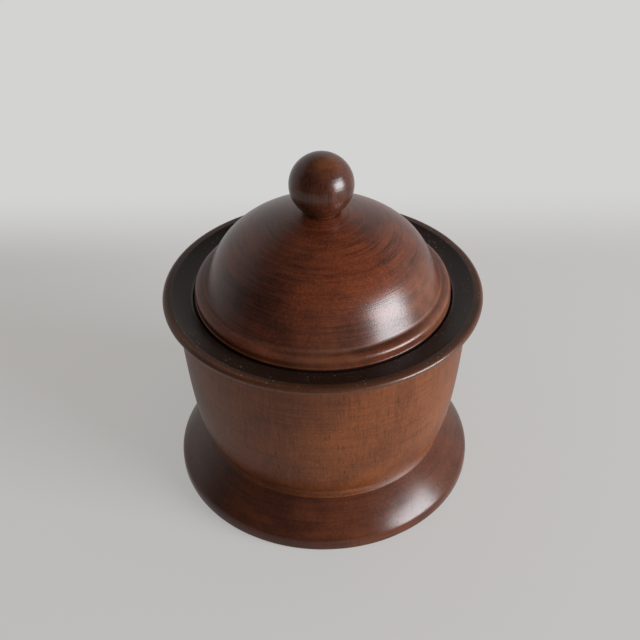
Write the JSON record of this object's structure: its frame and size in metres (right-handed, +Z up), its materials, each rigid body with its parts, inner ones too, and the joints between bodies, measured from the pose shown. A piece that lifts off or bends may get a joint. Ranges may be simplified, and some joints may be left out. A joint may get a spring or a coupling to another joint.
{
  "type": "wooden jar",
  "caption": "Turned wooden jar with a flared foot, a tapering pot, a dished and rebated rim, and a loose domed lid with a ball knob.",
  "frame": {"origin": "centre of the foot's underside, on the table", "axes": "+Z up along the axis of turning; -Y faces the viewer of the picture, +X is to the viewer's right"},
  "size_m": [0.15, 0.15, 0.171],
  "materials": {
    "foot_wood": "dark stained and lacquered, satin",
    "pot_wood": "red-brown stained and lacquered, satin, near-black on the rim's top",
    "lid_wood": "red-brown stained and lacquered, semi-gloss",
    "knob_wood": "dark stained and lacquered, semi-gloss"
  },
  "bodies": {
    "jar": {"jar_body": "pot_wood", "foot": "foot_wood"},
    "lid": {"lid": "lid_wood", "knob": "knob_wood"}
  },
  "joints": [
    {"name": "lid_lift", "type": "slide", "parent": "jar", "child": "lid", "axis": [0, 0, 1], "range_m": [0, 0.12]}
  ]
}
